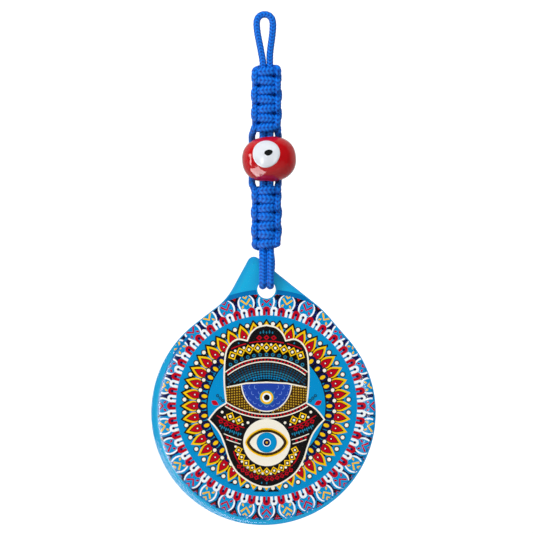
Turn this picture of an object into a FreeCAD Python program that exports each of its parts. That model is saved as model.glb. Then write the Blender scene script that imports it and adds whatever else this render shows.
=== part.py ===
import FreeCAD, Part
import math
import os

# A hanging hand amulet: a knotted blue cord carries a red eye bead and a drop-shaped glass disc.
# The part hangs from the hook point inside its top loop, which is the origin. Z is up,
# the front faces -Y, and every length is in millimetres.

# Cord, and how much each stretch of it is squashed in the knots
cord_d = 2.7
run_gap = 0.3
circle_share = 1.0539
bar_height_share = 0.66
bar_thick_share = 0.42
bar_end_height_share = 0.56
side_share = 0.50

# Hanging loop, measured down from the hook point
loop_inner_w = 3.6
loop_drop = 14.6
loop_shoulder_drop = 5.0
loop_waist_drop = 9.6
loop_shoulder_w = 6.1
loop_waist_w = 4.3
core_pitch = 2.7

# Square-knot sennits: one front and one back bar to each half knot
upper_bars = 7
upper_pitch = 3.65
lower_bars = 7
lower_pitch = 3.45
bend_clear = 0.9
disc_bend_clear = 1.3
start_rise_share = 1.20
bar_end_share = 1.05
bar_depth_share = 0.88
bar_bow_share = 1.06
bar_lift_share = 0.10
leg_x_share = 1.50
leg_y_share = 0.70
leg_lift_share = 0.30
stub_end_share = 1.32
tuck_drop_share = 0.50
tuck_side_share = 0.70
tuck_back_share = 1.07
lower_core_depth = 2.7

# Red glass bead with a raised white eye and a black pupil
bead_w = 21.0
bead_h = 18.0
bead_bore_d = 6.4
bead_shift = 1.0
bead_tilt = 5.0
bead_mouth_gap = 0.9
eye_d = 10.6
eye_depth = 0.6
eye_rise = 0.25
eye_side = -0.9
eye_up = 1.5
pupil_w = 3.4
pupil_h = 2.5
pupil_rise = 0.05
pupil_side = 0.8
pupil_up = 0.5
bypass_start = (5.7, 0.0, 0.6)
bypass_route = ((7.4, 3.2, 9.3), (7.3, 9.0, 7.0), (7.2, 12.6, 2.0))
bypass_end_gap = 0.5

# Glass disc: a turquoise body, a printed film and a clear cover, one outline for all three
disc_r = 43.3
disc_drop = 48.6
disc_side = -1.2
tip_r = 6.4
tip_side = -6.15
tip_rise = 6.4
flank_left_angle = 65.0
flank_right_angle = 40.0
flank_left_len = 15.0
flank_right_len = 28.0
left_join_angle = 128.5
right_join_angle = 42.0
glass_t = 3.0
cover_t = 2.0
film_t = 0.1
cover_round = 1.1
cover_round_step = 0.4
glass_round = 1.0
glass_round_step = 0.35
hole_d = 7.1
hole_round = 0.4
film_r = 41.6
film_side = 0.9
film_up = 0.3
film_inset = 0.4
film_notch_d = 8.2
pattern_r = 45.3
pattern_up = 3.3

# Hanger cords through the disc
hanger_drop = 14.7
hanger_spread_drop = 1.1
hanger_over_drop = 3.5
hanger_back_top = 3.4
hanger_back_shift = 0.5

cord_r = cord_d / 2
bar_half_h = bar_height_share * cord_d
left = -1
right = 1
sides = 8
arc_step = 32.0
arc_share = 0.45
end_leans = (75, 50, 25)
bead_sides = 28
bead_rings = 12
inlay_sides = 20
Z = FreeCAD.Vector(0, 0, 1)
Y = FreeCAD.Vector(0, 1, 0)
X = FreeCAD.Vector(1, 0, 0)


def point(x, y, z):
    return FreeCAD.Vector(x, y, z)


# Stations along the hanging line, each worked out from the one above
neck_z = -loop_drop
upper_start_z = neck_z - bend_clear - bar_half_h
upper_first_z = upper_start_z - start_rise_share * cord_d
upper_last_z = upper_first_z - (upper_bars - 1) * upper_pitch
upper_bead_z = upper_last_z - bar_half_h - bend_clear
bead_half = math.sqrt(1 - (bead_bore_d / bead_w) ** 2) * bead_h / 2
bead_z = upper_bead_z - bead_mouth_gap - bead_half
lower_bead_z = bead_z - bead_half - bead_mouth_gap
lower_first_z = lower_bead_z - bend_clear - bar_half_h
lower_last_z = lower_first_z - (lower_bars - 1) * lower_pitch
disc_bend_z = lower_last_z - bar_half_h - disc_bend_clear
hole_z = disc_bend_z - hanger_drop
disc_z = hole_z - disc_drop
stack_t = glass_t + cover_t
cover_front = -stack_t / 2
cover_back = cover_front + cover_t
glass_back = stack_t / 2


# Cord tubes

def skin_solid(rings):
    """A closed solid whose skin runs from ring to ring, with a fan over each end."""
    count = len(rings[0])
    corners = [corner for ring in rings for corner in ring]
    facets = []
    for r in range(len(rings) - 1):
        for i in range(count):
            a = r * count + i
            b = r * count + (i + 1) % count
            facets.append((a, b, b + count))
            facets.append((a, b + count, a + count))
    for ring, first, turn in ((rings[0], 0, -1), (rings[-1], len(corners) - count, 1)):
        middle = FreeCAD.Vector()
        for corner in ring:
            middle += corner * (1 / count)
        tip = len(corners)
        corners.append(middle)
        for i in range(count):
            pair = (first + i, first + (i + 1) % count)
            facets.append((tip,) + pair[::turn])
    skin = Part.Shape()
    skin.makeShapeFromMesh((corners, facets), run_gap / 100)
    solid = Part.makeSolid(skin.Shells[0])
    if solid.Volume < 0:
        solid.reverse()
    return solid


def eight_sided(centre, along, up, half_up, half_out):
    out = along.cross(up)
    corners = []
    for i in range(sides):
        angle = math.radians((i + 0.5) * 360 / sides)
        rise = up * (half_up * circle_share * math.cos(angle))
        corners.append(centre + rise + out * (half_out * circle_share * math.sin(angle)))
    return corners


def cord_tube(name, points, squash, up=Z, round_start=False, round_end=False):
    """Straight runs joined by tangent arcs, with a section that the squash values flatten."""
    runs = [(b - a) for a, b in zip(points, points[1:])]
    along = FreeCAD.Vector(runs[0]).normalize()
    up = (up - along * up.dot(along)).normalize()
    rings = []
    if round_start:
        for lean in end_leans:
            back_off = cord_r * math.sin(math.radians(lean))
            shrink = math.cos(math.radians(lean))
            half = [h * shrink for h in squash[0]]
            rings.append((points[0] - along * back_off, along, up, half))
    rings.append((points[0], along, up, squash[0]))
    radii = []
    length = 0.0
    last = points[0]
    for i in range(1, len(points) - 1):
        ahead = FreeCAD.Vector(runs[i]).normalize()
        turn = along.getAngle(ahead)
        shorter = min(runs[i - 1].Length, runs[i].Length)
        radius = arc_share * shorter / math.tan(turn / 2)
        radii.append(radius / cord_d)
        start = points[i] - along * arc_share * shorter
        axis = along.cross(ahead).normalize()
        centre = start + axis.cross(along) * radius
        steps = max(1, math.ceil(math.degrees(turn) / arc_step))
        for step in range(steps + 1):
            spin = FreeCAD.Rotation(axis, math.degrees(turn) * step / steps)
            place = centre + spin.multVec(start - centre)
            rings.append((place, spin.multVec(along), spin.multVec(up), squash[i]))
        length += (start - last).Length + radius * turn
        last = points[i] + ahead * arc_share * shorter
        up = FreeCAD.Rotation(axis, math.degrees(turn)).multVec(up)
        along = ahead
    length += (points[-1] - last).Length
    rings.append((points[-1], along, up, squash[-1]))
    if round_end:
        for lean in reversed(end_leans):
            ahead_off = cord_r * math.sin(math.radians(lean))
            shrink = math.cos(math.radians(lean))
            half = [h * shrink for h in squash[-1]]
            rings.append((points[-1] + along * ahead_off, along, up, half))
    tube = skin_solid([eight_sided(*ring[:3], *ring[3]) for ring in rings])
    if radii:
        print(name, "length", round(length, 1), "mm, arcs of", [round(r, 1) for r in radii], "diameters")
    area = math.pi * cord_r ** 2
    print(name, "volume over full section times length", round(tube.Volume / (area * length), 2))
    return tube


def round_cord(name, points, up=Z, round_start=False, round_end=False):
    return cord_tube(name, points, [(cord_r, cord_r)] * len(points), up, round_start, round_end)


# Square knots

bar_squash = (bar_height_share * cord_d, bar_thick_share * cord_d)
end_squash = (bar_end_height_share * cord_d, bar_thick_share * cord_d)
side_squash = (side_share * cord_d, side_share * cord_d)
full_squash = (cord_r, cord_r)


def knot_route(first_z, pitch, bars, core_extra, lead_in, lead_out):
    """The cord that makes every front bar, from left to right in the first one.

    Its bars bow out over the cores, and its sides run round behind the other cord."""
    bar_y = bar_depth_share * cord_d + core_extra / 2
    bow_y = bar_bow_share * cord_d + core_extra
    end_x = bar_end_share * cord_d
    leg_x = leg_x_share * cord_d
    leg_y = leg_y_share * cord_d + core_extra / 2
    lift = bar_lift_share * cord_d
    leg_lift = leg_lift_share * cord_d
    places = list(lead_in)
    for bar in range(bars):
        z = first_z - bar * pitch
        way = right if bar % 2 == 0 else left
        places.append((point(-way * end_x, -bar_y, z - lift), end_squash))
        places.append((point(0, -bow_y, z), bar_squash))
        places.append((point(way * end_x, -bar_y, z + lift), end_squash))
        side_top = z + leg_lift if bar else z
        places.append((point(way * leg_x, leg_y, side_top), side_squash))
        if bar < bars - 1:
            side_low = z - pitch - leg_lift if bar < bars - 2 else z - pitch
            places.append((point(way * leg_x, leg_y, side_low), side_squash))
    return places + list(lead_out)


def turned(places):
    """The same route for the cord that makes the back bars: half a turn about the hanging line."""
    return [(point(-p.x, -p.y, p.z), s) for p, s in places]


def knot_cord(name, places, up=Z, round_end=False):
    return cord_tube(name, [p for p, s in places], [s for p, s in places], up, round_end=round_end)


def clear_of(joint, toward, gap):
    """The point one gap outside a rounded cord end, on the way to the next point."""
    return joint + (toward - joint).normalize() * (cord_r + gap)


def upper_sennit():
    end_x = leg_x_share * cord_d
    leg_y = leg_y_share * cord_d
    back_y = bar_depth_share * cord_d
    lift = leg_lift_share * cord_d
    low = upper_first_z - lift
    last_side = point(end_x, leg_y, upper_last_z + lift)
    out, depth, rise = bypass_start
    joint = point(out, depth, upper_bead_z + rise)
    lead_out = [(clear_of(joint, last_side, bypass_end_gap), full_squash)]
    front_in = [
        (point(0, back_y, upper_start_z), bar_squash[::-1]),
        (point(-end_x, back_y, upper_start_z), side_squash),
        (point(-end_x, leg_y, low), side_squash),
    ]
    back_in = [
        (point(0, -back_y, upper_start_z), bar_squash),
        (point(-bar_end_share * cord_d, -back_y, upper_start_z + lift), end_squash),
        (point(-end_x, leg_y, upper_start_z + lift), side_squash),
        (point(-end_x, leg_y, low), side_squash),
    ]
    route = knot_route(upper_first_z, upper_pitch, upper_bars, 0, front_in, lead_out)
    parts["upper_front_cord"] = knot_cord("upper_front_cord", route, Y)
    route = knot_route(upper_first_z, upper_pitch, upper_bars, 0, back_in, lead_out)
    parts["upper_back_cord"] = knot_cord("upper_back_cord", turned(route))
    for name, side in (("left", left), ("right", right)):
        x = side * core_pitch / 2
        points = [
            point(side * neck_half_w(), 0, neck_z),
            point(x, 0, neck_z - cord_d),
            point(x, 0, upper_bead_z + cord_r + run_gap),
        ]
        node = "upper_" + name + "_core_cord"
        parts[node] = round_cord(node, points, X, round_start=True)


def lower_sennit():
    leg_x = leg_x_share * cord_d
    extra = lower_core_depth / 2
    leg_y = leg_y_share * cord_d + extra / 2
    first_side = point(-leg_x, leg_y, lower_first_z - leg_lift_share * cord_d)
    out, depth, rise = bypass_start
    top = clear_of(point(-out, depth, lower_bead_z - rise), first_side, bypass_end_gap)
    lead_in = [(top, full_squash), (first_side, side_squash)]
    bar_y = bar_depth_share * cord_d + extra / 2
    stub = [(point(stub_end_share * cord_d, -bar_y, lower_last_z), full_squash)]
    tuck_z = lower_last_z - tuck_drop_share * cord_d
    tuck = [
        (point(leg_x, run_gap, tuck_z), side_squash),
        (point(tuck_side_share * cord_d, -tuck_back_share * cord_d, tuck_z), side_squash),
    ]
    route = knot_route(lower_first_z, lower_pitch, lower_bars, extra, lead_in, [])
    front_route = route[:-2] + stub
    parts["lower_front_cord"] = knot_cord("lower_front_cord", front_route, Y, round_end=True)
    parts["lower_back_cord"] = knot_cord("lower_back_cord", turned(route + tuck), -Y, round_end=True)
    for name, side in (("left", left), ("right", right)):
        x = side * core_pitch / 2
        first = point(x, -extra, lower_first_z - cord_d)
        points = [
            clear_of(point(x, 0, lower_bead_z), first, run_gap),
            first,
            point(x, -extra, disc_bend_z + cord_r + run_gap),
        ]
        node = "lower_" + name + "_core_cord"
        parts[node] = round_cord(node, points, X)
        tail_top = lower_first_z - lower_pitch
        tail = [point(x, extra, disc_bend_z + bend_clear), point(x, extra, tail_top)]
        node = name + "_tail_cord"
        parts[node] = round_cord(node, tail, X, round_end=True)


# Hanging loop

def neck_half_w():
    return core_pitch / 2 + run_gap / 4


def hanging_loop():
    bend_r = loop_inner_w / 2 + cord_r
    corner = bend_r * math.tan(math.radians(22.5))
    centre_z = -loop_inner_w / 2
    top_z = centre_z + bend_r
    end_z = neck_z + cord_r + run_gap
    half = [
        point(neck_half_w() + run_gap / 2, 0, end_z),
        point(loop_waist_w / 2, 0, -loop_waist_drop),
        point(loop_shoulder_w / 2, 0, -loop_shoulder_drop),
        point(bend_r, 0, centre_z + corner),
        point(corner, 0, top_z),
    ]
    other = [point(-p.x, p.y, p.z) for p in reversed(half)]
    parts["hanging_loop"] = round_cord("hanging_loop", half + other, Y)


# Bead and the cords past it

def bead_skin(side, depth):
    """The bead's half width out from its own axis at a depth from its middle, both before its tilt."""
    return math.sqrt(max(0, 1 - (side * 2 / bead_w) ** 2 - (depth * 2 / bead_h) ** 2)) * bead_w / 2


def bead_body():
    rings = []
    for r in range(bead_rings + 1):
        fall = math.pi * (r + 0.5) / (bead_rings + 1)
        ring = []
        for i in range(bead_sides):
            spin = -2 * math.pi * i / bead_sides
            out = bead_w / 2 * math.sin(fall)
            ring.append(point(out * math.cos(spin), out * math.sin(spin), bead_h / 2 * math.cos(fall)))
        rings.append(ring)
    body = skin_solid(rings)
    body.rotate(point(0, 0, 0), Y, -bead_tilt)
    body.translate(point(bead_shift, 0, bead_z))
    return body


def inlay(half_w, half_h, side, up, rise, depth):
    """A domed oval of glass let into the bead's front, following its surface."""
    lean = math.radians(bead_tilt)
    rings = []
    for share, lift in ((1, -depth), (1, 0), (0.92, rise), (0.6, rise), (0.25, rise)):
        ring = []
        for i in range(inlay_sides):
            spin = -2 * math.pi * i / inlay_sides
            x = side + half_w * share * math.cos(spin)
            z = up + half_h * share * math.sin(spin)
            across = (x - bead_shift) * math.cos(lean) + z * math.sin(lean)
            above = z * math.cos(lean) - (x - bead_shift) * math.sin(lean)
            ring.append(point(x, -bead_skin(across, above) - lift, bead_z + z))
        rings.append(ring)
    return skin_solid(rings)


def bead():
    bore = Part.makeCylinder(bead_bore_d / 2, 2 * bead_h, point(0, 0, bead_z - bead_h))
    eye = inlay(eye_d / 2, eye_d / 2, eye_side, eye_up, eye_rise, eye_depth)
    pupil_x = eye_side + pupil_side
    pupil = inlay(pupil_w / 2, pupil_h / 2, pupil_x, eye_up + pupil_up, eye_rise + pupil_rise, eye_depth / 2)
    parts["bead_glass"] = bead_body().cut(eye).cut(bore)
    parts["bead_eye"] = eye.cut(pupil)
    parts["bead_pupil"] = pupil


def bead_cords():
    out, back, rise = bypass_start
    upper_half = [(out, back, upper_bead_z + rise)] + [(x, y, bead_z + z) for x, y, z in bypass_route]
    lower_half = [(x, y, 2 * bead_z - z) for x, y, z in reversed(upper_half)]
    route = upper_half + lower_half
    for name, side in (("left", left), ("right", right)):
        points = [point(side * x, y, z) for x, y, z in route]
        node = "bead_" + name + "_cord"
        parts[node] = round_cord(node, points, X, round_start=True, round_end=True)
        x = side * core_pitch / 2
        core = [point(x, 0, upper_bead_z), point(x, 0, lower_bead_z)]
        node = "bead_" + name + "_core_cord"
        parts[node] = round_cord(node, core, X, round_start=True, round_end=True)


# Hanger cords: two strands down the front, through the hole, and up the back

def hanger_cords():
    stand_off = stack_t / 2 + cord_r + run_gap
    extra = lower_core_depth / 2
    turn_r = hole_d / 2 - cord_r - run_gap
    turn_z = hole_z + math.sqrt(turn_r ** 2 - (core_pitch / 2) ** 2)
    for name, side in (("left", left), ("right", right)):
        x = side * core_pitch / 2
        back_x = x + hanger_back_shift
        points = [
            point(x, -extra, disc_bend_z),
            point(x, -extra - cord_r, disc_bend_z - hanger_spread_drop),
            point(x, -stand_off - run_gap, disc_bend_z - hanger_over_drop),
            point(x, -stand_off, turn_z + cord_d * 1.5),
            point(x, -stand_off, turn_z),
            point(x, stand_off, turn_z),
            point(x, stand_off, turn_z + cord_d * 1.5),
            point(back_x, stand_off + run_gap, disc_bend_z - hanger_over_drop - cord_d),
            point(back_x, stand_off, disc_bend_z - hanger_back_top),
        ]
        node = name + "_hanger_cord"
        parts[node] = round_cord(node, points, X, round_start=True, round_end=True)


# Glass disc

def polar(side, up, radius, angle):
    """A point on a circle in the disc's plane, the angle taken from +X towards +Z."""
    spin = math.radians(angle)
    return point(side + radius * math.cos(spin), 0, up + radius * math.sin(spin))


def direction(angle):
    return point(math.cos(math.radians(angle)), 0, math.sin(math.radians(angle)))


def tangent_arc(start, way, end):
    """The arc that leaves start along way and ends at end."""
    chord = end - start
    inward = (chord - way * chord.dot(way)).normalize()
    radius = chord.dot(chord) / (2 * chord.dot(inward))
    centre = start + inward * radius
    middle = centre + ((start - centre) + (end - centre)).normalize() * radius
    return Part.Arc(start, middle, end).toShape()


def joining_arcs(start, start_way, end, end_way):
    """Two arcs that meet smoothly, from one direction at start to another at end."""
    chord = end - start
    both = start_way + end_way
    slack = 2 * (1 - start_way.dot(end_way))
    reach = (math.sqrt(chord.dot(both) ** 2 + slack * chord.dot(chord)) - chord.dot(both)) / slack
    meeting = (start + end + (start_way - end_way) * reach) * 0.5
    first = tangent_arc(start, start_way, meeting)
    second = tangent_arc(end, -end_way, meeting)
    return [first, second]


def disc_face():
    tip_z = hole_z + tip_rise
    tip_left = polar(tip_side, tip_z, tip_r, 90 + flank_left_angle)
    tip_right = polar(tip_side, tip_z, tip_r, 90 - flank_right_angle)
    tip_top = polar(tip_side, tip_z, tip_r, 90)
    left_end = tip_left + direction(180 + flank_left_angle) * flank_left_len
    right_end = tip_right + direction(-flank_right_angle) * flank_right_len
    left_join = polar(disc_side, disc_z, disc_r, left_join_angle)
    right_join = polar(disc_side, disc_z, disc_r, right_join_angle)
    bottom = polar(disc_side, disc_z, disc_r, -90)
    edges = [
        Part.Arc(tip_left, tip_top, tip_right).toShape(),
        Part.LineSegment(tip_right, right_end).toShape(),
        *joining_arcs(right_end, direction(-flank_right_angle), right_join, direction(right_join_angle - 90)),
        Part.Arc(right_join, bottom, left_join).toShape(),
        *joining_arcs(left_join, direction(left_join_angle - 90), left_end, direction(flank_left_angle)),
        Part.LineSegment(left_end, tip_left).toShape(),
    ]
    return Part.Face(Part.Wire(Part.sortEdges(edges)[0]))


def slab(face, y, thickness):
    plate = face.copy()
    plate.translate(point(0, y, 0))
    return plate.extrude(point(0, thickness, 0))


def post(diameter, side, up):
    rod = Part.makeCylinder(diameter / 2, 2 * stack_t, point(side, -stack_t, up), Y)
    return rod


def edges_at(shape, y):
    """The edges that lie wholly in the plane at this Y."""
    close = run_gap / 10
    return [e for e in shape.Edges if abs(e.BoundBox.YMin - y) < close and abs(e.BoundBox.YMax - y) < close]


def printed_film(face):
    tip_z = hole_z + tip_rise
    base = post(2 * film_r, film_side, disc_z + film_up)
    for side in (left, right):
        base = base.fuse(film_flank(side, tip_z))
    pattern = post(2 * pattern_r, 0, disc_z + pattern_up)
    inner = face.makeOffset2D(-film_inset)
    film = slab(inner, cover_back - film_t, film_t)
    film = film.common(base).common(pattern)
    return film.cut(post(film_notch_d, 0, hole_z)).removeSplitter()


def film_flank(side, tip_z):
    """A triangle of film from the film's own circle up towards the tip, wide enough to trim."""
    foot = polar(film_side, disc_z + film_up, film_r, 90 - side * 48)
    corners = [
        polar(tip_side, tip_z, tip_r, 90 - side * 48),
        foot,
        point(film_side, 0, disc_z),
        polar(tip_side, tip_z, tip_r, 90),
    ]
    flank = Part.Face(Part.makePolygon(corners + corners[:1]))
    flank.translate(point(0, -stack_t, 0))
    return flank.extrude(point(0, 2 * stack_t, 0))


def bevelled(body, y, size, small, inward):
    """The outer edge at this Y taken off in three flats that follow a round."""
    outer = [e for e in edges_at(body, y) if e.Length > hole_d * math.pi]
    body = body.makeChamfer(size, outer or edges_at(body, y))
    return body.makeChamfer(small, edges_at(body, y) + edges_at(body, y + inward * size))


def glass_disc():
    face = disc_face()
    hole = post(hole_d, 0, hole_z)
    film = printed_film(face)
    body = bevelled(slab(face, cover_back, glass_t), glass_back, glass_round, glass_round_step, -1).cut(hole)
    cover = bevelled(slab(face, cover_front, cover_t), cover_front, cover_round, cover_round_step, 1).cut(hole)
    back_rim = [e for e in edges_at(body, glass_back) if e.BoundBox.XLength < 2 * hole_d]
    front_rim = [e for e in edges_at(cover, cover_front) if e.BoundBox.XLength < 2 * hole_d]
    parts["glass_body"] = body.makeChamfer(hole_round, back_rim)
    parts["clear_cover"] = cover.makeChamfer(hole_round, front_rim).cut(film)
    parts["printed_film"] = film


parts = {}
hanging_loop()
upper_sennit()
bead_cords()
bead()
lower_sennit()
hanger_cords()
glass_disc()

os.makedirs("parts", exist_ok=True)
for node, shape in parts.items():
    solids = len(shape.Solids)
    print(node, "solids", solids, "valid", shape.isValid(), "volume", round(shape.Volume, 1))
    shape.exportStep("parts/" + node + ".step")
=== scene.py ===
import math

import bmesh
import bpy
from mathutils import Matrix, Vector


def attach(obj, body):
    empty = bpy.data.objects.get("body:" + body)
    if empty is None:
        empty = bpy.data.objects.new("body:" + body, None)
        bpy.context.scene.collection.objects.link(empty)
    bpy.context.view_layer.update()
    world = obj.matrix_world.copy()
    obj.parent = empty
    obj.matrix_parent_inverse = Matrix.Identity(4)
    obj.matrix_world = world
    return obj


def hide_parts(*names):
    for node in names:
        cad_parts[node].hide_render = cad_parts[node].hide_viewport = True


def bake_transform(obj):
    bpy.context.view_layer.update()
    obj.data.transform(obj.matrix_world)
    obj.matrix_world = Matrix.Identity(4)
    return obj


# Looks of a hanging hand amulet: knitted cord, red eye bead, printed glass drop.
# Lengths in the settings are millimetres, as in the part, and turn into metres once.
mm = 0.001

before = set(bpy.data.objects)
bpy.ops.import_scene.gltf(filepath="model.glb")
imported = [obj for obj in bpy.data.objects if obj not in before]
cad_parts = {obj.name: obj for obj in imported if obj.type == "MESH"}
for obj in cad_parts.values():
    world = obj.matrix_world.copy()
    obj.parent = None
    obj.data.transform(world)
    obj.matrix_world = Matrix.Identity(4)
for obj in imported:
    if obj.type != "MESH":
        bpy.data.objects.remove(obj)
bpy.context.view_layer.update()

# Places along the hanging line, the same as the part's
place = {
    "neck": -14.6,
    "upperStart": -17.282,
    "upperFirst": -20.522,
    "upperBead": -45.104,
    "bead": -54.576,
    "lowerBead": -64.048,
    "lowerFirst": -66.73,
    "lowerLast": -87.43,
    "discBend": -90.512,
    "hole": -105.212,
}


def linear(red, green, blue):
    # Turns a screen colour into the linear values that materials take
    parts = [c / 255 for c in (red, green, blue)]
    return (*[c / 12.92 if c <= 0.04045 else ((c + 0.055) / 1.055) ** 2.4 for c in parts], 1.0)


def newMaterial(name):
    material = bpy.data.materials.new(name)
    material.use_nodes = True
    return material, material.node_tree.nodes


def feed(node, values):
    for socket, value in values.items():
        node.inputs[socket].default_value = value


def link(source, output, target, socket):
    source.id_data.links.new(source.outputs[output], target.inputs[socket])


def newNode(shaders, kind, values=None):
    node = shaders.new("ShaderNode" + kind)
    feed(node, values or {})
    return node


def plainMaterial(name, values):
    material, shaders = newMaterial(name)
    feed(shaders["Principled BSDF"], values)
    return material


def mathNode(shaders, operation, *values):
    # The first input is left for a wire
    node = newNode(shaders, "Math")
    node.operation = operation
    feed(node, dict(enumerate(values, 1)))
    return node


def rampNode(shaders, *stops):
    node = newNode(shaders, "ValToRGB")
    held = node.color_ramp.elements
    for element, (position, colour) in zip(held, (stops[0], stops[-1])):
        element.position = position
        element.color = colour
    for position, colour in stops[1:-1]:
        held.new(position).color = colour
    return node


def noiseBump(shaders, noiseValues, bumpValues):
    # Noise fixed to the piece, which also dents its skin
    spot = newNode(shaders, "TexCoord")
    noise = newNode(shaders, "TexNoise", noiseValues)
    link(spot, "Object", noise, "Vector")
    bump = newNode(shaders, "Bump", bumpValues)
    link(noise, "Fac", bump, "Height")
    link(bump, "Normal", shaders["Principled BSDF"], "Normal")
    return noise


def dress(piece, material):
    # A slot of the object's own, so a CAD node's mesh stays as it is
    if not piece.material_slots:
        piece.data.materials.append(material)
    for holder in piece.material_slots:
        holder.link = "OBJECT"
        holder.material = material


def onlySelect(piece):
    bpy.ops.object.select_all(action="DESELECT")
    bpy.context.view_layer.objects.active = piece
    piece.select_set(True)


def added(name, data):
    piece = bpy.data.objects.new(name, data)
    bpy.context.collection.objects.link(piece)
    return piece


def meshPiece(name, corners, faces):
    mesh = bpy.data.meshes.new(name)
    mesh.from_pydata([tuple(c) for c in corners], [], faces)
    mesh.update()
    return added(name, mesh)


def facesOut(piece):
    onlySelect(piece)
    bpy.ops.object.mode_set(mode="EDIT")
    bpy.ops.mesh.select_all(action="SELECT")
    bpy.ops.mesh.normals_make_consistent(inside=False)
    bpy.ops.object.mode_set(mode="OBJECT")


def ringFaces(rings, count, first=0):
    # Faces between neighbouring rings of corners
    faces = []
    for r in range(rings - 1):
        for j in range(count):
            a = first + r * count + j
            b = first + r * count + (j + 1) % count
            faces.append((a, b, b + count, a + count))
    return faces


def closedFaces(rings, count):
    last = (rings - 1) * count
    return ringFaces(rings, count) + [tuple(range(count))[::-1], tuple(range(last, last + count))]


def rideAs(piece, body, cad):
    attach(piece, body)
    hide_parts(cad)


# Camera and light
cameraSet = {"distance": 1200, "up": -96.3, "seenWidth": 207.3}
cameraData = bpy.data.cameras.new("camera")
cameraData.lens = cameraData.sensor_width * cameraSet["distance"] / cameraSet["seenWidth"]
camera = added("camera", cameraData)
camera.location = Vector((0, -cameraSet["distance"], cameraSet["up"])) * mm
camera.rotation_euler = (math.radians(90), 0, 0)
bpy.context.scene.camera = camera
bpy.context.scene.view_settings.view_transform = "Standard"

lightSet = {
    # name: place, width, height, watts, lights surfaces or only shines in them
    "keyLeft": ((-820, -760, 260), 420, 620, 7.0, True),
    "top": ((60, -500, 640), 620, 420, 3.0, True),
    "lowLeft": ((-170, -60, -330), 380, 300, 2.5, False),
    "sideLeft": ((-420, -60, -90), 90, 300, 0.7, False),
    "stripLeft": ((-440, -1120, -250), 120, 500, 5.2, False),
    "stripRight": ((440, -1120, -178), 70, 310, 1.5, False),
}
aim = Vector((0, 0, -110)) * mm
for name, (spot, width, height, watts, lights) in lightSet.items():
    lampData = bpy.data.lights.new(name, "AREA")
    lampData.shape = "RECTANGLE"
    lampData.size = width * mm
    lampData.size_y = height * mm
    lampData.energy = watts
    lamp = added(name, lampData)
    lamp.location = Vector(spot) * mm
    lamp.rotation_euler = (aim - lamp.location).to_track_quat("-Z", "Y").to_euler()
    lamp.visible_diffuse = lights
    lamp.visible_glossy = not lights

worldSet = {"seen": 1.0, "lighting": 0.6, "mirrored": 0.12}
world = bpy.data.worlds.new("studio")
bpy.context.scene.world = world
world.use_nodes = True
worldNodes = world.node_tree.nodes
background = worldNodes["Background"]
rays = newNode(worldNodes, "LightPath")
unseen = newNode(worldNodes, "Mix", {2: worldSet["lighting"], 3: worldSet["mirrored"]})
link(rays, "Is Glossy Ray", unseen, 0)
strength = newNode(worldNodes, "Mix", {3: worldSet["seen"]})
link(unseen, 0, strength, 2)
link(rays, "Is Camera Ray", strength, 0)
link(strength, 0, background, "Strength")
feed(background, {"Color": (1, 1, 1, 1)})

# A pale floor, and a wall that is white to the camera and clear from behind
stageSet = {"size": 4000, "wallBack": 190, "wallColour": 0.42, "wallGlow": 0.72,
            "floorDrop": 540, "floorColour": 0.6, "floorRough": 0.9}


def plane(name):
    bpy.ops.mesh.primitive_plane_add(size=stageSet["size"] * mm)
    bpy.context.object.name = name
    return bpy.context.object


wall = plane("wall")
wall.rotation_euler = (math.radians(90), 0, 0)
wall.location = Vector((0, stageSet["wallBack"], 0)) * mm
floor = plane("floor")
floor.location = Vector((0, 0, -stageSet["floorDrop"])) * mm

wallPaint, shaders = newMaterial("wallPaint")
plain = shaders["Principled BSDF"]
feed(plain, {"Base Color": (*[stageSet["wallColour"]] * 3, 1), "Roughness": 1.0, "Specular IOR Level": 0.0,
             "Emission Color": (1, 1, 1, 1)})
path = newNode(shaders, "LightPath")
glow = mathNode(shaders, "MULTIPLY", stageSet["wallGlow"])
link(path, "Is Camera Ray", glow, 0)
link(glow, 0, plain, "Emission Strength")
behind = newNode(shaders, "NewGeometry")
clear = newNode(shaders, "BsdfTransparent")
either = newNode(shaders, "MixShader")
link(behind, "Backfacing", either, 0)
link(plain, 0, either, 1)
link(clear, 0, either, 2)
link(either, 0, shaders["Material Output"], "Surface")
dress(wall, wallPaint)
dress(floor, plainMaterial("floorPaint", {"Base Color": (*[stageSet["floorColour"]] * 3, 1),
                                          "Roughness": stageSet["floorRough"]}))
print("stage ready")

# Knitted cord
cordSet = {
    "d": 2.7,
    "step": 0.2,
    "around": 30,
    "columns": 6,
    "stitch": 1.3,
    "slant": 0.3,
    "relief": 0.15,
    "crest": 0.8,
    "groove": 0.55,
    "edgeDip": 0.25,
    "divide": 14,
    "capLeans": (72, 45, 20),
    "onAxis": 0.05,
    # Painted shade and highlight on the knit: the first colour darkens the stitch valleys, the last lightens the
    # ridges
    "deep": linear(0, 26, 104),
    "middle": linear(0, 74, 176),
    "ridgeHighlight": linear(4, 122, 232),
    "fibreShare": 0.22,
}


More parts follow.
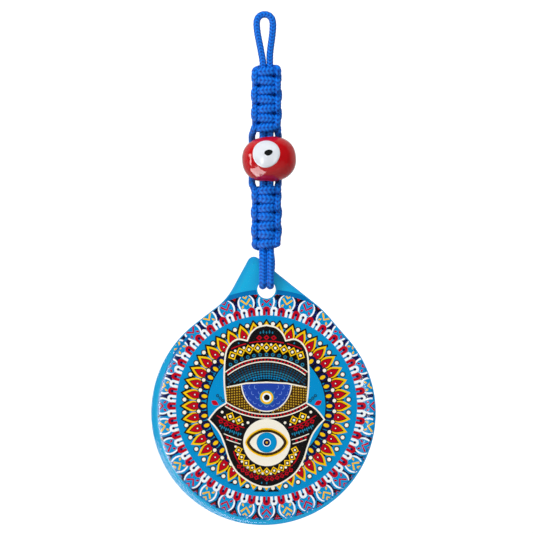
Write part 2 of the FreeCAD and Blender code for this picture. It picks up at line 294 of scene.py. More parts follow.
def cordMaterial():
    material, shaders = newMaterial("blueCord")
    base = shaders["Principled BSDF"]
    stitch = newNode(shaders, "Attribute")
    stitch.attribute_name = "stitch"
    fibre = noiseBump(shaders, {"Scale": 2600.0, "Detail": 3.0}, {"Strength": 0.35, "Distance": 0.08 * mm})
    lift = mathNode(shaders, "MULTIPLY_ADD", cordSet["fibreShare"] * 2, -cordSet["fibreShare"])
    link(fibre, "Fac", lift, 0)
    tone = mathNode(shaders, "ADD")
    link(stitch, "Fac", tone, 0)
    link(lift, 0, tone, 1)
    # Painted shade and highlight: the knit's height picks the colour, dark in the valleys and light on the ridges;
    # the fibre noise adds random tone
    stitchShadeRamp = rampNode(shaders, (0.05, cordSet["deep"]), (0.45, cordSet["middle"]), (1.0, cordSet["ridgeHighlight"]))
    link(tone, 0, stitchShadeRamp, "Fac")
    link(stitchShadeRamp, "Color", base, "Base Color")
    feed(base, {"Roughness": 0.6, "Specular IOR Level": 0.15})
    return material


blueCord = cordMaterial()


def splineRead(points):
    # The points of a free cord's own NURBS line, read off a plain curve
    curve = bpy.data.curves.new("line", "CURVE")
    curve.dimensions = "3D"
    curve.resolution_u = cordSet["divide"]
    spline = curve.splines.new("NURBS")
    spline.points.add(len(points) - 1)
    for held, point in zip(spline.points, points):
        held.co = (*point, 1.0)
    spline.order_u = 3
    spline.use_endpoint_u = True
    line = added("line", curve)
    mesh = bpy.data.meshes.new_from_object(line)
    read = [v.co.copy() for v in mesh.vertices]
    bpy.data.objects.remove(line)
    bpy.data.curves.remove(curve)
    bpy.data.meshes.remove(mesh)
    return read


def stations(points, squash):
    # Evenly spaced places along a cord: place, half width and half depth, distance from its start
    line = splineRead([Vector(p) * mm for p in points])
    sizes = splineRead([(w * cordSet["d"] * mm, t * cordSet["d"] * mm, 0) for w, t in squash])
    step = cordSet["step"] * mm
    read = [(line[0], sizes[0], 0.0)]
    gone = 0.0
    due = step
    for a, b, sizeA, sizeB in zip(line, line[1:], sizes, sizes[1:]):
        run = (b - a).length
        while run > 0 and gone + run >= due:
            share = (due - gone) / run
            read.append((a.lerp(b, share), sizeA.lerp(sizeB, share), due))
            due += step
        gone += run
    return read


def radial(point):
    # Outwards from the hanging line
    out = Vector((point.x, point.y, 0))
    return out if out.length > cordSet["onAxis"] * mm else Vector((0, -1, 0))


def frontwards(point):
    return Vector((0, -1, 0))


def rightwards(point):
    return Vector((1, 0, 0))


def stitchHeight(turn, far):
    # How high the knit stands at a place round the cord and along it, from 0 to 1
    spun = turn * cordSet["columns"] + 0.5
    column = int(spun) % cordSet["columns"]
    across = (spun - int(spun)) * 2 - 1
    way = 1 if column % 2 else -1
    phase = far / (cordSet["stitch"] * mm) + way * across * cordSet["slant"]
    ridge = (0.5 + 0.5 * math.cos(2 * math.pi * phase)) ** cordSet["crest"]
    bowl = 1 - cordSet["groove"] * (1 - across * across)
    return 1 - (1 - ridge) * bowl - cordSet["edgeDip"] * across ** 4 * ridge


def capRings(ring, way):
    # Rings that close an end in a dome, from its tip inwards
    point, along, size, far, share = ring
    leans = [math.radians(a) for a in cordSet["capLeans"]]
    return [(point + along * (way * size.x * math.sin(a)), along, size, far, math.cos(a)) for a in leans]


def cordPiece(name, read, reference, roundStart=False, roundEnd=False):
    count = cordSet["around"]
    rings = []
    for i, (point, size, far) in enumerate(read):
        before = read[max(i - 1, 0)][0]
        after = read[min(i + 1, len(read) - 1)][0]
        rings.append((point, (after - before).normalized(), size, far, 1.0))
    if roundStart:
        rings = capRings(rings[0], -1) + rings
    if roundEnd:
        rings += capRings(rings[-1], 1)[::-1]
    corners = []
    heights = []
    for point, along, size, far, share in rings:
        out = reference(point)
        out = (out - along * out.dot(along)).normalized()
        wide = along.cross(out)
        for j in range(count):
            turn = (j + 0.5) / count
            angle = 2 * math.pi * turn
            height = stitchHeight(turn, far)
            heights.append(height)
            rise = wide * (size.x * math.cos(angle)) + out * (size.y * math.sin(angle))
            trim = 1 - cordSet["relief"] * mm * (1 - height) / rise.length
            corners.append(point + rise * (share * trim))
    piece = meshPiece(name, corners, closedFaces(len(rings), count))
    # The knit height, also kept for the painted shade in the stitch valleys and painted highlight on the ridges
    stitch = piece.data.attributes.new("stitch", "FLOAT", "POINT")
    stitch.data.foreach_set("value", heights)
    facesOut(piece)
    for polygon in piece.data.polygons:
        polygon.use_smooth = True
    dress(piece, blueCord)
    return piece


# Hanging loop: one cord from knot to knot round the hook
loopSet = {
    "half": ((1.30, 0, -20.5), (1.30, 0, -17.3), (1.55, 0, -14.0), (2.25, 0, -9.6), (3.05, 0, -5.0),
             (3.25, 0, -0.3), (1.4, 0, 1.75)),
    "lean": (0, 0, -0.3, -0.45, -0.6, -0.7, -0.7),
    "fullness": 0.50,
    "bendOver": 1.6,
}
half = list(zip(loopSet["half"], loopSet["lean"]))
loopPoints = [(x + lean, y, z) for (x, y, z), lean in half]
loopPoints += [(lean - x, y, z) for (x, y, z), lean in reversed(half)]
loopRead = stations(loopPoints, [(loopSet["fullness"], loopSet["fullness"])] * len(loopPoints))
loopCord = cordPiece("loopCord", loopRead, frontwards)
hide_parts("hanging_loop")
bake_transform(loopCord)
print("loop", round(loopRead[-1][2] / mm, 1), "mm")


def blendAt(piece):
    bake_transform(piece)


# Core cords inside the knots and through the bead: y and z of each half, the CAD nodes it stands for
coreSet = {"x": 1.35, "fullness": (0.54, 0.5), "top": -20.0, "straightTo": -32.0, "lap": 0.2, "front": -1.35,
           "frontFrom": -69.43, "end": -88.0}
coreHalves = {
    "Upper": (((0, coreSet["top"]), (0, coreSet["straightTo"]), (0, place["upperBead"]),
               (0, place["bead"] - coreSet["lap"])), ("upper", "bead")),
    "Lower": (((0, place["bead"]), (0, place["lowerBead"]), (coreSet["front"], coreSet["frontFrom"]),
               (coreSet["front"], coreSet["end"])), ("lower",)),
}
for name, sign in (("Left", -1), ("Right", 1)):
    for halfName, (run, parts) in coreHalves.items():
        points = [(sign * coreSet["x"], y, z) for y, z in run]
        core = cordPiece("core" + halfName + name, stations(points, [coreSet["fullness"]] * 4), frontwards)
        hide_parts(*[part + "_" + name.lower() + "_core_cord" for part in parts])
        blendAt(core)
print("cores made")

# Hanger cords: down the front, through the glass and up the back into the knots
hangerSet = {
    "x": 1.45,
    "squash": (0.5, 0.555),
    "bendStart": -89.3,
    "bendEnd": -92.3,
    # to the right, y, height from the bend
    "route": ((0, -1.35, 4.512), (0, -1.35, 0), (0, -3.2, -0.6), (0, -4.45, -3.5), (0, -4.15, -9.31),
              (0, -4.15, -13.36), (0, 4.15, -13.36), (0, 4.15, -9.31), (0.5, 4.45, -6.2), (0.5, 4.3, -3.0),
              (0, 3.0, -0.4), (0, 1.35, 4.512)),
}
for name, sign in (("Left", -1), ("Right", 1)):
    points = [(sign * hangerSet["x"] + x, y, place["discBend"] + z) for x, y, z in hangerSet["route"]]
    hanger = cordPiece("hanger" + name, stations(points, [hangerSet["squash"]] * len(points)), rightwards)
    cad = name.lower()
    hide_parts(cad + "_hanger_cord", cad + "_tail_cord")
    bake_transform(hanger)
print("hangers made")

# The two knotting cords, each one route from the neck to the disc, cut at the bead's middle.
# Shares are of the cord's thickness; bar, barEnd, side and full are its half widths.
knotSet = {
    "bars": 7,
    "upperPitch": 3.65,
    "lowerPitch": 3.45,
    "endShare": 1.05,
    "depthShare": 0.88,
    "bowShare": 1.06,
    "liftShare": 0.10,
    "legXShare": 1.66,
    "legYShare": 0.70,
    "legLiftShare": 0.30,
    "lowerExtra": 1.35,
    "startDrop": 2.0,
    "bar": (0.70, 0.42),
    "barEnd": (0.58, 0.42),
    "side": (0.53, 0.50),
    "full": (0.50, 0.50),
    "stubShares": (1.32, 1.62),
    "tuckDropShare": 0.5,
    "tuckBack": 0.3,
    "tuckEndShares": (0.70, -1.07),
    "bypassStart": (5.3, 0.3, 0.6),
    "bypass": ((5.7, 4.6, 9.9), (5.7, 10.3, 7.4), (5.7, 13.2, 2.0)),
    "rightShare": 0.82,
    "uneven": (0.1, -0.15, 0.3, -0.1, 0.25, -0.2, 0.1),
}
d = cordSet["d"]
legX = knotSet["legXShare"] * d
legLift = knotSet["legLiftShare"] * d
endX = knotSet["endShare"] * d


def knotRoute(first, pitch, extra):
    # Seven front bars, from left to right in the first one, with the sides behind between them
    barY = knotSet["depthShare"] * d + extra / 2
    bowY = knotSet["bowShare"] * d + extra
    legY = knotSet["legYShare"] * d + extra / 2
    lift = knotSet["liftShare"] * d
    route = []
    for bar in range(knotSet["bars"]):
        z = first - bar * pitch
        way = -1 if bar % 2 else 1
        side = legX + knotSet["uneven"][bar]
        route += [
            ((-way * endX, -barY, z - lift), knotSet["barEnd"]),
            ((0, -bowY, z), knotSet["bar"]),
            ((way * endX, -barY, z + lift), knotSet["barEnd"]),
            ((way * side, legY, z + legLift if bar else z), knotSet["side"]),
        ]
        if bar < knotSet["bars"] - 1:
            low = z - pitch - legLift if bar < knotSet["bars"] - 2 else z - pitch
            route.append(((way * side, legY, low), knotSet["side"]))
    return route


def turned(route):
    return [((-x, -y, z), squash) for (x, y, z), squash in route]


barY = knotSet["depthShare"] * d
legY = knotSet["legYShare"] * d
upper = knotRoute(place["upperFirst"], knotSet["upperPitch"], 0)
lower = knotRoute(place["lowerFirst"], knotSet["lowerPitch"], knotSet["lowerExtra"])
start = place["upperStart"] - knotSet["startDrop"]
low = place["upperFirst"] - legLift
frontIn = [
    ((0, barY, start), knotSet["bar"]),
    ((-legX, barY, start), knotSet["side"]),
    ((-legX, legY, low), knotSet["side"]),
]
backIn = [
    ((0, -barY, start), knotSet["bar"]),
    ((-endX, -barY, start), knotSet["barEnd"]),
    ((-legX, legY, start), knotSet["side"]),
    ((-legX, legY, low), knotSet["side"]),
]
lowerLegY = legY + knotSet["lowerExtra"] / 2
lowerBarY = barY + knotSet["lowerExtra"] / 2
lowerIn = [((-legX, lowerLegY, place["lowerFirst"] - legLift), knotSet["side"])]
stub = [((share * d, -lowerBarY, place["lowerLast"]), knotSet["full"]) for share in knotSet["stubShares"]]
tuckZ = place["lowerLast"] - knotSet["tuckDropShare"] * d
tuckX, tuckY = knotSet["tuckEndShares"]
tuck = [((legX, knotSet["tuckBack"], tuckZ), knotSet["side"]), ((tuckX * d, tuckY * d, tuckZ), knotSet["side"])]


def bypass(sign):
    # Round behind the bead on one side, the same below its middle as above
    out, back, rise = knotSet["bypassStart"]
    share = knotSet["rightShare"] if sign > 0 else 1
    upperHalf = [(out * share, back, place["upperBead"] + rise)]
    upperHalf += [(x * share, y, place["bead"] + z) for x, y, z in knotSet["bypass"]]
    lowerHalf = [(x, y, 2 * place["bead"] - z) for x, y, z in reversed(upperHalf)]
    return [((sign * x, y, z), knotSet["full"]) for x, y, z in upperHalf + lowerHalf]


frontRoute = frontIn + upper + bypass(1) + turned(lowerIn + lower + tuck)
backRoute = turned(backIn + upper) + bypass(-1) + lowerIn + lower[:-1] + stub
for name, route, upperNode, beadNode, lowerNode in (
    ("First", frontRoute, "upper_front_cord", "bead_right_cord", "lower_back_cord"),
    ("Second", backRoute, "upper_back_cord", "bead_left_cord", "lower_front_cord"),
):
    read = stations([p for p, s in route], [s for p, s in route])
    cut = next(i for i, r in enumerate(read) if r[0].z < place["bead"] * mm)
    piece = cordPiece("knotUpper" + name, read[: cut + 1], radial, roundStart=True)
    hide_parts(upperNode, beadNode)
    blendAt(piece)
    piece = cordPiece("knotLower" + name, read[cut:], radial, roundEnd=True)
    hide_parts(lowerNode)
    blendAt(piece)
    print("knot cord", name, round(read[-1][2] / mm, 1), "mm")

# Bead: a bored, slightly boxy ball that hangs askew, with two drops let into its front
beadSet = {
    "w": 21.0,
    "h": 17.7,
    "bore": 6.4,
    "shift": 1.0,
    "tilt": 5.0,
    "lip": 0.7,
    "boxy": 2.3,
    "lobes": 0.7,
    # inset share and height of each ring of a drop, heights as shares of its rise
    "wall": ((1.0, -0.02, 0), (0.985, 0, 0.55), (0.95, 0, 0.85), (0.88, 0, 1)),
    "crown": (0.7, 0.5, 0.3, 0.1),
    "crownRise": 0.2,
    "eye": {"wide": 10.6, "high": 10.6, "side": -0.1, "up": 1.75, "rise": 0.25, "deep": 0.6, "wobble": 0.012,
            "lean": 0},
    "pupil": {"wide": 3.5, "high": 2.4, "side": 0.75, "up": 2.2, "rise": 0.33, "deep": 0.1, "wobble": 0.03,
              "lean": 12},
}
bpy.ops.mesh.primitive_uv_sphere_add(segments=96, ring_count=64, radius=0.5)
beadGlass = bpy.context.object
beadGlass.name = "beadGlass"
for vertex in beadGlass.data.vertices:
    whole = sum(abs(c * 2) ** beadSet["boxy"] for c in vertex.co)
    vertex.co = vertex.co / whole ** (1 / beadSet["boxy"])
bpy.ops.object.mode_set(mode="EDIT")
bpy.ops.mesh.select_all(action="SELECT")
bpy.ops.transform.resize(value=(beadSet["w"] * mm, beadSet["w"] * mm, beadSet["h"] * mm))
bpy.ops.transform.rotate(value=math.radians(beadSet["tilt"]), orient_axis="Y", center_override=(0, 0, 0))
bpy.ops.transform.translate(value=(beadSet["shift"] * mm, 0, place["bead"] * mm))
bpy.ops.object.mode_set(mode="OBJECT")
bpy.ops.mesh.primitive_cylinder_add(vertices=64, radius=beadSet["bore"] / 2 * mm, depth=beadSet["h"] * 2 * mm,
                                    location=(0, 0, place["bead"] * mm))
borer = bpy.context.object
onlySelect(beadGlass)
bored = beadGlass.modifiers.new("bore", "BOOLEAN")
bored.object = borer
bored.solver = "EXACT"
bpy.ops.object.modifier_apply(modifier="bore")
lip = beadGlass.modifiers.new("lip", "BEVEL")
lip.width = beadSet["lip"] * mm
lip.segments = 4
lip.limit_method = "ANGLE"
lip.angle_limit = math.radians(40)
bpy.ops.object.modifier_apply(modifier="lip")
bpy.data.objects.remove(borer)
facesOut(beadGlass)
bpy.ops.object.shade_smooth_by_angle(angle=math.radians(50))


def beadFront(x, z):
    # How far the bead's skin stands in front of the hanging line, from x and z off its middle
    lean = math.radians(beadSet["tilt"])
    across = (x - beadSet["shift"]) * math.cos(lean) + z * math.sin(lean)
    above = z * math.cos(lean) - (x - beadSet["shift"]) * math.sin(lean)
    boxy = beadSet["boxy"]
    left = 1 - abs(2 * across / beadSet["w"]) ** boxy - abs(2 * above / beadSet["h"]) ** boxy
    return max(0, left) ** (1 / boxy) * beadSet["w"] / 2


def domed(name, drop, count=72):
    # A drop of glass let into the bead's front
    lean = math.radians(drop["lean"])
    profile = [(1.0, -drop["deep"])]
    profile += [(share, plain + part * drop["rise"]) for share, plain, part in beadSet["wall"]]
    profile += [(share, drop["rise"] * (1 + beadSet["crownRise"] * (1 - share))) for share in beadSet["crown"]]
    corners = []
    for share, lift in profile:
        for i in range(count):
            angle = 2 * math.pi * i / count
            swell = 1 + drop["wobble"] * (math.sin(3 * angle + beadSet["lobes"]) + math.sin(2 * angle))
            across = drop["wide"] / 2 * share * swell * math.cos(angle)
            above = drop["high"] / 2 * share * swell * math.sin(angle)
            x = drop["side"] + across * math.cos(lean) - above * math.sin(lean)
            z = drop["up"] + across * math.sin(lean) + above * math.cos(lean)
            corners.append(Vector((x, -beadFront(x, z) - lift, place["bead"] + z)) * mm)
    piece = meshPiece(name, corners, closedFaces(len(profile), count))
    facesOut(piece)
    bpy.ops.object.shade_smooth_by_angle(angle=math.radians(60))
    return piece


beadEye = domed("beadEye", beadSet["eye"])
beadPupil = domed("beadPupil", beadSet["pupil"])

redGlass, shaders = newMaterial("redGlass")
base = shaders["Principled BSDF"]
# Painted reflection: the red turns pale pink where the bead's skin turns away from the camera
paintedSheenMask = newNode(shaders, "LayerWeight", {"Blend": 0.35})
edge = rampNode(shaders, (0.0, linear(184, 0, 12)), (0.72, linear(196, 0, 14)), (1.0, linear(232, 96, 96)))
link(paintedSheenMask, "Facing", edge, "Fac")
link(edge, "Color", base, "Base Color")
feed(base, {"Roughness": 0.06, "IOR": 1.52})
noiseBump(shaders, {"Scale": 300.0}, {"Strength": 0.6, "Distance": 0.4 * mm})
dress(beadGlass, redGlass)
dress(beadEye, plainMaterial("whiteGlass", {"Base Color": linear(214, 218, 225), "Roughness": 0.25, "IOR": 1.52}))
dress(beadPupil, plainMaterial("blackGlass", {"Base Color": linear(16, 18, 20), "Roughness": 0.15, "IOR": 1.52}))
rideAs(beadGlass, "bead", "bead_glass")
rideAs(beadEye, "bead", "bead_eye")
rideAs(beadPupil, "bead", "bead_pupil")
print("bead made")

# Glass drop: turquoise body and clear cover on one outline. The rim values paint shade on the turquoise: 1 at its
# outline, where it is drawn darkest, down to 0 on its face, with some shade round the hole too.
glassSet = {
    "front": -2.5,
    "seam": -0.5,
    "back": 2.5,
    "coverEdge": 0.4,
    "backRound": 1.0,
    "hole": 7.1,
    "holeRound": 0.4,
    "holeSteps": 5,
    "backSteps": 8,
    "flatten": 0.06,
    "backFlatten": 0.1,
    "around": 96,
    "seamGap": 0.006,
    "pointGap": 0.7,
    "rimShadeFade": 3.0,
    "holeEdge": 0.3,
    "holeRimShades": (0.6, 0.25),
    "bodyRings": (2.8, 1.6, 0.7, 0),
}
# The drop: a round plate whose top runs up two flanks to a small rounded tip
dropSet = {
    "r": 43.65,
    "side": -1.15,
    "up": -153.15,
    "tipR": 2.6,
    "tipSide": -4.9,
    "tipUp": -95.05,
    "leftLean": 61.6,
    "rightLean": 38.5,
    "leftLength": 12.0,
    "rightLength": 28.0,
    "leftJoin": 128.5,
    "rightJoin": 42.0,
}
# How far in the cover's rounded edge reaches, at the peak and round the plate
coverRound = {"peak": 2.9, "plate": 6.2, "from": -114, "to": -136, "steps": 18, "end": 1.03}


def heading(degrees):
    return Vector((math.cos(math.radians(degrees)), math.sin(math.radians(degrees))))


def partsOf(length):
    return max(2, math.ceil(length / glassSet["pointGap"]))


def arcBetween(start, way, end):
    # Points of the arc that leaves start along way and comes to end, without end itself
    chord = end - start
    inward = (chord - way * chord.dot(way)).normalized()
    radius = chord.dot(chord) / (2 * chord.dot(inward))
    centre = start + inward * radius
    spoke = start - centre
    sweep = spoke.angle(end - centre)
    turnWay = 1 if spoke.x * way.y - spoke.y * way.x > 0 else -1
    parts = partsOf(sweep * radius)
    made = []
    for i in range(parts):
        spin = turnWay * sweep * i / parts
        made.append(centre + Vector((spoke.x * math.cos(spin) - spoke.y * math.sin(spin),
                                     spoke.x * math.sin(spin) + spoke.y * math.cos(spin))))
    return made


def joinedArcs(start, startWay, end, endWay):
    # Two arcs that meet smoothly between two directions
    chord = end - start
    both = startWay + endWay
    slack = 2 * (1 - startWay.dot(endWay))
    far = (math.sqrt(chord.dot(both) ** 2 + slack * chord.dot(chord)) - chord.dot(both)) / slack
    meeting = (start + end + (startWay - endWay) * far) * 0.5
    first = arcBetween(start, startWay, meeting)
    second = arcBetween(end, -endWay, meeting)
    return first + [meeting] + second[:0:-1]


def turnedArc(centre, radius, fromDegrees, toDegrees):
    parts = partsOf(math.radians(toDegrees - fromDegrees) * radius)
    return [centre + heading(fromDegrees + (toDegrees - fromDegrees) * i / parts) * radius for i in range(parts)]


def straight(start, end):
    parts = partsOf((end - start).length)
    return [start.lerp(end, i / parts) for i in range(parts)]


def dropOutline():
    # The whole outline once round, anticlockwise from the right of the tip
    tip = Vector((dropSet["tipSide"], dropSet["tipUp"]))
    plate = Vector((dropSet["side"], dropSet["up"]))
    leftWay = heading(180 + dropSet["leftLean"])
    rightWay = heading(180 - dropSet["rightLean"])
    tipLeft = tip + heading(90 + dropSet["leftLean"]) * dropSet["tipR"]
    tipRight = tip + heading(90 - dropSet["rightLean"]) * dropSet["tipR"]
    leftEnd = tipLeft + leftWay * dropSet["leftLength"]
    rightEnd = tipRight - rightWay * dropSet["rightLength"]
    leftJoin = plate + heading(dropSet["leftJoin"]) * dropSet["r"]
    rightJoin = plate + heading(dropSet["rightJoin"]) * dropSet["r"]
    made = turnedArc(tip, dropSet["tipR"], 90 - dropSet["rightLean"], 90 + dropSet["leftLean"])
    made += straight(tipLeft, leftEnd)
    made += joinedArcs(leftEnd, leftWay, leftJoin, heading(dropSet["leftJoin"] + 90))
    made += turnedArc(plate, dropSet["r"], dropSet["leftJoin"], 360 + dropSet["rightJoin"])
    made += joinedArcs(rightJoin, heading(dropSet["rightJoin"] + 90), rightEnd, rightWay)
    made += straight(rightEnd, tipRight)
    return [point * mm for point in made]


outline = dropOutline()
inwards = []
for i in range(len(outline)):
    run = (outline[(i + 1) % len(outline)] - outline[i - 1]).normalized()
    inwards.append(Vector((-run.y, run.x)))


def slabPiece(name, outer, inner, widths):
    # A closed plate: rings of the outline at (inset, y), rings round the hole at (outset, y).
    # The widths scale the insets from point to point of the outline.
    corners = []
    rimShades = []
    count = len(outline)
    around = glassSet["around"]
    for inset, y in outer:
        for flat, inward, width in zip(outline, inwards, widths):
            spot = flat + inward * inset * width * mm
            corners.append((spot.x, y * mm, spot.y))
            # Painted shade, strongest at the outline and fading inwards
            rimShades.append(max(0.0, 1 - inset * width / glassSet["rimShadeFade"]))
    faces = ringFaces(len(outer), count) + ringFaces(len(inner), around, len(corners))
    for outset, y in inner:
        for i in range(around):
            angle = 2 * math.pi * i / around
            reach = (glassSet["hole"] / 2 + outset) * mm
            corners.append((reach * math.cos(angle), y * mm, place["hole"] * mm + reach * math.sin(angle)))
            # Painted shade round the hole, stronger at its edge
            rimShades.append(glassSet["holeRimShades"][0 if outset < glassSet["holeEdge"] else 1])
    piece = meshPiece(name, corners, faces)
    whole = bmesh.new()
    whole.from_mesh(piece.data)
    for y in (outer[0][1], outer[-1][1]):
        rim = [e for e in whole.edges
               if e.is_boundary and all(abs(v.co.y - y * mm) < 0.000001 for v in e.verts)]
        bmesh.ops.triangle_fill(whole, edges=rim, use_beauty=True)
    whole.to_mesh(piece.data)
    whole.free()
    rim = piece.data.attributes.new("rim", "FLOAT", "POINT")
    rim.data.foreach_set("value", rimShades)
    facesOut(piece)
    bpy.ops.object.shade_smooth_by_angle(angle=math.radians(35))
    return piece


def quarter(wide, deep, fromY, way, steps):
    # Points of a rounded edge, from the wall to the flat
    return [(wide * (1 - math.cos(math.pi / 2 * k / steps)),
             fromY + way * deep * math.sin(math.pi / 2 * k / steps)) for k in range(steps + 1)]


front, seam, back = glassSet["front"], glassSet["seam"], glassSet["back"]
holeRound, backRound, flatten = glassSet["holeRound"], glassSet["backRound"], glassSet["flatten"]
coverBack = seam - glassSet["seamGap"]
coverFrom = coverBack - glassSet["coverEdge"]
rounds = []
for flat in outline:
    t = min(1, max(0, (flat.y / mm - coverRound["from"]) / (coverRound["to"] - coverRound["from"])))
    rounds.append(coverRound["peak"] + (coverRound["plate"] - coverRound["peak"]) * t * t * (3 - 2 * t))
coverOuter = [(0, coverBack)] + quarter(1, coverFrom - front, coverFrom, -1, coverRound["steps"])
coverOuter.append((coverRound["end"], front))
coverInner = [(0, coverBack)] + quarter(holeRound, holeRound, front + holeRound, -1, glassSet["holeSteps"])
coverInner.append((holeRound + flatten, front))
clearCover = slabPiece("clearCover", coverOuter, coverInner, rounds)
bodyOuter = [(inset, seam) for inset in glassSet["bodyRings"]]
bodyOuter += quarter(backRound, backRound, back - backRound, 1, glassSet["backSteps"])
bodyOuter.append((backRound + glassSet["backFlatten"], back))
bodyInner = [(0, seam)] + quarter(holeRound, holeRound, back - holeRound, 1, glassSet["holeSteps"])
bodyInner.append((holeRound + flatten, back))
glassBody = slabPiece("glassBody", bodyOuter, bodyInner, [1] * len(outline))

turquoise, shaders = newMaterial("turquoiseGlass")
base = shaders["Principled BSDF"]
rimShadeRead = newNode(shaders, "Attribute")
rimShadeRead.attribute_name = "rim"
# Painted shade: the rim values darken and grey the turquoise towards the outline and round the hole
tint = rampNode(shaders, (0.0, linear(0, 184, 228)), (1.0, linear(20, 162, 218)))
link(rimShadeRead, "Fac", tint, "Fac")
link(tint, "Color", base, "Base Color")
feed(base, {"Roughness": 0.12, "IOR": 1.5})
dress(glassBody, turquoise)

clearSet = {"ior": 1.5, "shine": 0.6, "roughness": 0.15, "tint": (0.97, 0.99, 1.0, 1)}
clearGlass, shaders = newMaterial("clearGlass")
shine = newNode(shaders, "BsdfGlossy", {"Roughness": clearSet["roughness"]})
through = newNode(shaders, "BsdfTransparent", {"Color": clearSet["tint"]})
fresnel = newNode(shaders, "Fresnel")
# The same reflection from inside as from outside, so light gets out again
inside = newNode(shaders, "NewGeometry")
eitherWay = newNode(shaders, "Mix", {2: clearSet["ior"], 3: 1 / clearSet["ior"]})
link(inside, "Backfacing", eitherWay, 0)
link(eitherWay, 0, fresnel, "IOR")
softer = mathNode(shaders, "MULTIPLY", clearSet["shine"])
link(fresnel, "Fac", softer, 0)
mixed = newNode(shaders, "MixShader")
link(softer, 0, mixed, 0)
link(through, 0, mixed, 1)
link(shine, 0, mixed, 2)
link(mixed, 0, shaders["Material Output"], "Surface")
dress(clearCover, clearGlass)
rideAs(glassBody, "glass_disc", "glass_body")
rideAs(clearCover, "glass_disc", "clear_cover")
print("glass made")

# Printed film: petal rings and the hand, as flat inks laid over the film
inkColour = {
    "sky": linear(0, 143, 204),
    "navy": linear(12, 18, 72),
    "black": linear(20, 17, 19),
    "red": linear(194, 2, 26),
    "darkRed": linear(138, 6, 28),
    "yellow": linear(250, 195, 8),
    "gold": linear(206, 160, 34),
    "cream": linear(250, 240, 222),
    "white": linear(246, 246, 246),
    "blue": linear(36, 68, 166),
    "paleBlue": linear(104, 140, 208),
    "teal": linear(22, 124, 160),
    "deepTeal": linear(12, 74, 104),
    "brown": linear(66, 42, 14),
    "border": linear(2, 112, 178),
}
filmSet = {
    "z": -150.512,
    "face": -0.6,
    "thick": 0.09,
    "layer": 0.008,
    "longest": 0.35,
    "r": 42.3,
    "z0": -152.6,
    "patternR": 45.3,
    "inset": 0.4,
    "notchR": 4.1,
    "open": 62,
    "openBy": 0.25,
    "rays": 1440,
    "free": 30,
}


def paint(name):
    return {"Base Color": inkColour[name], "Roughness": 0.5, "Specular IOR Level": 0.0}


def rayToCircle(angle, z, radius, enter=False):
    # How far a ray from the print's middle goes to a circle whose middle is z above it
    along = z * math.cos(angle)
    root = radius ** 2 - (z * z - along * along)
    if root < 0:
        return math.inf
    return along - math.sqrt(root) if enter else along + math.sqrt(root)


def filmAngle(i):
    return math.radians(i * 360 / filmSet["rays"] - 180)


def filmEdge():
    # How far the film reaches from the print's middle, at even angles
    inner = []
    for flat, inward in zip(outline, inwards):
        spot = flat / mm + inward * filmSet["inset"]
        inner.append((math.atan2(spot.x, spot.y - filmSet["z"]), math.hypot(spot.x, spot.y - filmSet["z"])))
    inner.sort()
    made = []
    for i in range(filmSet["rays"]):
        angle = filmAngle(i)
        k = next((n for n, (a, r) in enumerate(inner) if a > angle), 0)
        (a, ra), (b, rb) = inner[k - 1], inner[k]
        span = (b - a) % (2 * math.pi)
        share = ((angle - a) % (2 * math.pi)) / span if span > 0 else 0
        off = abs(math.degrees(angle))
        allowed = max(0, (filmSet["open"] - off) * filmSet["openBy"])
        limits = [ra + (rb - ra) * share, filmSet["patternR"],
                  rayToCircle(angle, filmSet["z0"] - filmSet["z"], filmSet["r"]) + allowed]
        if off < 90:
            limits.append(rayToCircle(angle, place["hole"] - filmSet["z"], filmSet["notchR"], enter=True))
        made.append(min(limits))
    return made


reach = filmEdge()


def reachAt(angle):
    spot = (math.degrees(angle) + 180) * filmSet["rays"] / 360
    low = int(spot)
    before, after = reach[low % len(reach)], reach[(low + 1) % len(reach)]
    return before + (after - before) * (spot - low)


filmCorners = [Vector((r * math.sin(filmAngle(i)), y, r * math.cos(filmAngle(i)) + filmSet["z"])) * mm
               for y in (filmSet["face"], filmSet["face"] + filmSet["thick"]) for i, r in enumerate(reach)]
printedFilm = meshPiece("printedFilm", filmCorners, closedFaces(2, len(reach)))
facesOut(printedFilm)
dress(printedFilm, plainMaterial("filmPaint", paint("sky")))
rideAs(printedFilm, "glass_disc", "printed_film")

layers = {}


def ink(colour, depth, *shapes):
    # Keeps each shape inside the film and stores it for its colour and depth
    for shape in shapes:
        dense = []
        for (ax, az), (bx, bz) in zip(shape, shape[1:] + shape[:1]):
            parts = 1
            if max(math.hypot(ax, az), math.hypot(bx, bz)) > filmSet["free"]:
                parts = max(1, math.ceil(math.hypot(bx - ax, bz - az) / filmSet["longest"]))
            dense += [(ax + (bx - ax) * i / parts, az + (bz - az) * i / parts) for i in range(parts)]
        kept = []
        outside = 0
        for x, z in dense:
            far = math.hypot(x, z)
            limit = reachAt(math.atan2(x, z)) if far > filmSet["free"] else far + 1
            if far > limit:
                outside += 1
                x, z = x * limit / far, z * limit / far
            kept.append((x, z))
        if outside < len(kept) - 1:
            layers.setdefault((colour, depth), []).append(kept)


def onArc(shape, radius, degrees, middle=(0, 0), side=1):
    # A shape drawn upright at the origin, set on an arc round the middle; side -1 hangs the arc down
    angle = math.radians(degrees)
    x, z = middle
    return [(x + (radius + b) * math.sin(angle) + a * math.cos(angle),
             z + side * ((radius + b) * math.cos(angle) - a * math.sin(angle))) for a, b in shape]


def moved(shape, x, z, degrees=0):
    angle = math.radians(degrees)
    return [(x + a * math.cos(angle) + b * math.sin(angle), z - a * math.sin(angle) + b * math.cos(angle))
            for a, b in shape]


def mirrored(shape, side):
    return [(side * x, z) for x, z in shape]


def oval(width, height, count=16):
    return [(width / 2 * math.cos(2 * math.pi * i / count), height / 2 * math.sin(2 * math.pi * i / count))
            for i in range(count)]


def dot(width, count=12):
    return oval(width, width, count)


